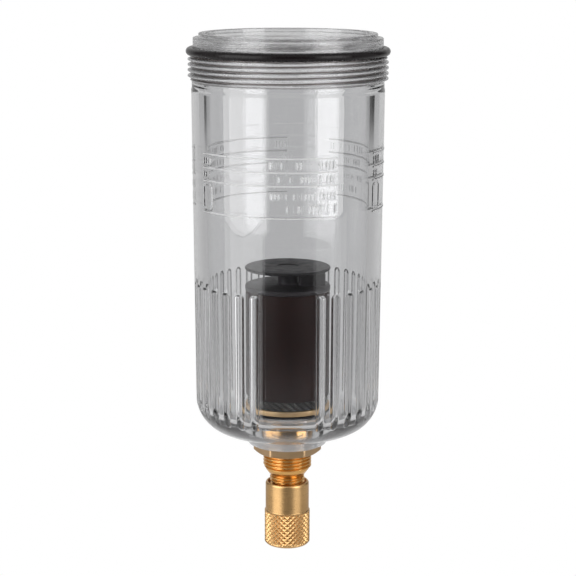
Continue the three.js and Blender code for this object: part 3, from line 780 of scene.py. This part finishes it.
def make_studio():
    """A white floor that curves up into a round backdrop. Only the camera sees it: it throws no light."""
    floor_z = cad_bounds[0][2] / MM - 0.3
    floor, bend, top = 1100.0, 400.0, 1700.0
    section = [(0.0, floor_z), (floor, floor_z)]
    section += arc(floor, floor_z + bend, bend, -90, 0, 16)[1:]
    section.append((floor + bend, top))
    around = 96
    theta = np.arange(around) * TAU / around
    section = np.array(section)
    points = ring_points(section[1:, :1], section[1:, 1:], theta)
    faces = grid_faces(len(section) - 1, around, closed=False).tolist()
    faces.append(list(range(around)))
    mesh = bpy.data.meshes.new("studio_sweep")
    mesh.from_pydata((points * MM).tolist(), [], faces)
    material = bpy.data.materials.new("studio_white")
    material.use_nodes = True
    surface = material.node_tree.nodes["Principled BSDF"]
    surface.inputs["Base Color"].default_value = (0, 0, 0, 1)
    surface.inputs["Roughness"].default_value = 1.0
    surface.inputs["Specular IOR Level"].default_value = 0.0
    surface.inputs["Emission Color"].default_value = (1, 1, 1, 1)
    surface.inputs["Emission Strength"].default_value = 1.0
    mesh.materials.append(material)
    sweep = bpy.data.objects.new("studio_sweep", mesh)
    for ray in ("diffuse", "glossy", "transmission", "volume_scatter", "shadow"):
        setattr(sweep, "visible_" + ray, False)
    bpy.context.scene.collection.objects.link(sweep)


BACK_GREY, SIDE_GREY = 0.68, 0.48             # the backdrop behind the bowl, and 46 degrees to its side
FRONT_GREY = 0.07                             # the unlit room in front, which the bowl mirrors
LOW_GREY, HIGH_GREY = 0.72, 0.60              # the lit floor below and the light overhead, all round
GAPS = ((1, 41.5, 62), (-1, 48.4, 62))        # unlit gaps beside the backdrop: side, first and last degree
GAP_FLOOR = (-7.8, -5.4)                      # elevation in degrees at which the gaps fade into the floor
GAP_DARKNESS = 0.97


def make_world():
    """The grey studio that the object mirrors and that shows through it, by direction."""
    world = bpy.data.worlds.new("studio")
    world.use_nodes = True
    bpy.context.scene.world = world
    tree = world.node_tree
    tree.nodes["Background"].inputs["Color"].default_value = (1, 1, 1, 1)

    def calculate(operation, *values):
        """One step of arithmetic on numbers or sockets."""
        node = tree.nodes.new("ShaderNodeMath")
        node.operation = operation
        for socket, value in zip(node.inputs, values):
            if isinstance(value, (int, float)):
                socket.default_value = value
            else:
                tree.links.new(value, socket)
        return node.outputs["Value"]

    def between(value, start, end, at_start=0.0, at_end=1.0):
        """A smooth change from at_start to at_end as value goes from start to end."""
        node = tree.nodes.new("ShaderNodeMapRange")
        node.interpolation_type = "SMOOTHSTEP"
        tree.links.new(value, node.inputs["Value"])
        numbers = {"From Min": start, "From Max": end, "To Min": at_start, "To Max": at_end}
        for name, number in numbers.items():
            node.inputs[name].default_value = number
        return node.outputs["Result"]

    direction = tree.nodes.new("ShaderNodeSeparateXYZ")
    tree.links.new(tree.nodes.new("ShaderNodeTexCoord").outputs["Generated"], direction.inputs["Vector"])
    x, y, z = direction.outputs
    azimuth = calculate("DEGREES", calculate("ARCTAN2", x, y))
    elevation = calculate("DEGREES", calculate("ARCSINE", z))
    backdrop = between(calculate("ABSOLUTE", azimuth), 8, 46, BACK_GREY, SIDE_GREY)
    in_front = between(calculate("ABSOLUTE", azimuth), 76, 108)
    grey = calculate("ADD", calculate("MULTIPLY", backdrop, calculate("SUBTRACT", 1.0, in_front)),
                     calculate("MULTIPLY", in_front, FRONT_GREY))
    below = between(elevation, -23, -16.5, 1.0, 0.0)
    above = between(elevation, 16, 34)
    for share, lit in ((below, LOW_GREY), (above, HIGH_GREY)):
        grey = calculate("ADD", calculate("MULTIPLY", grey, calculate("SUBTRACT", 1.0, share)),
                         calculate("MULTIPLY", share, lit))
    over_floor = between(elevation, *GAP_FLOOR)
    for side, first, last in GAPS:
        turned_away = calculate("MULTIPLY", azimuth, side)
        inside = calculate("MULTIPLY", between(turned_away, first - 1, first + 1),
                           between(turned_away, last - 2, last + 2, 1.0, 0.0))
        shade = calculate("MULTIPLY", calculate("MULTIPLY", inside, over_floor), GAP_DARKNESS)
        grey = calculate("MULTIPLY", grey, calculate("SUBTRACT", 1.0, shade))
    tree.links.new(grey, tree.nodes["Background"].inputs["Strength"])


def softbox(name, azimuth, distance, width, low, high, radiance):
    """An upright softbox; azimuth in degrees to the right of the camera's side, the rest in metres."""
    light = bpy.data.lights.new(name, "AREA")
    light.shape = "RECTANGLE"
    light.size, light.size_y = width, high - low
    light.energy = radiance * math.pi * width * (high - low)
    lamp = bpy.data.objects.new(name, light)
    angle = math.radians(azimuth)
    lamp.location = (distance * math.sin(angle), -distance * math.cos(angle), (low + high) / 2)
    lamp.rotation_euler = (math.pi / 2, 0, angle)
    bpy.context.scene.collection.objects.link(lamp)


def make_camera():
    """The main view: 520 mm from the bowl's middle, looking 11.3 degrees down, with a trace of roll."""
    camera = bpy.data.cameras.new("camera")
    camera.lens = 114.9
    camera.sensor_width = 36
    camera.clip_start = 0.01
    made = bpy.data.objects.new("camera", camera)
    distance, aim_x, aim_z = 0.520, 0.00009, -0.07165
    tilt, roll = math.radians(11.3), math.radians(0.13)
    made.location = (aim_x, -distance * math.cos(tilt), aim_z + distance * math.sin(tilt))
    level_view = Matrix.Rotation(math.pi / 2 - tilt, 3, "X")
    made.rotation_euler = (level_view @ Matrix.Rotation(roll, 3, "Z")).to_euler()
    bpy.context.scene.collection.objects.link(made)
    bpy.context.scene.camera = made


make_studio()
make_world()
softbox("left_softbox", -55.5, 0.62, 0.59, -0.165, 0.45, 2.7)
softbox("left_strip", -27, 0.62, 0.065, -0.165, 0.45, 1.4)
softbox("left_low_panel", -55.5, 0.62, 0.59, -0.42, -0.166, 1.3)
softbox("right_softbox", 51.3, 0.62, 0.375, -0.155, 0.45, 3.2)
softbox("right_low_panel", 54, 0.62, 0.45, -0.42, -0.156, 0.6)
make_camera()
bpy.context.scene.view_settings.view_transform = "Standard"
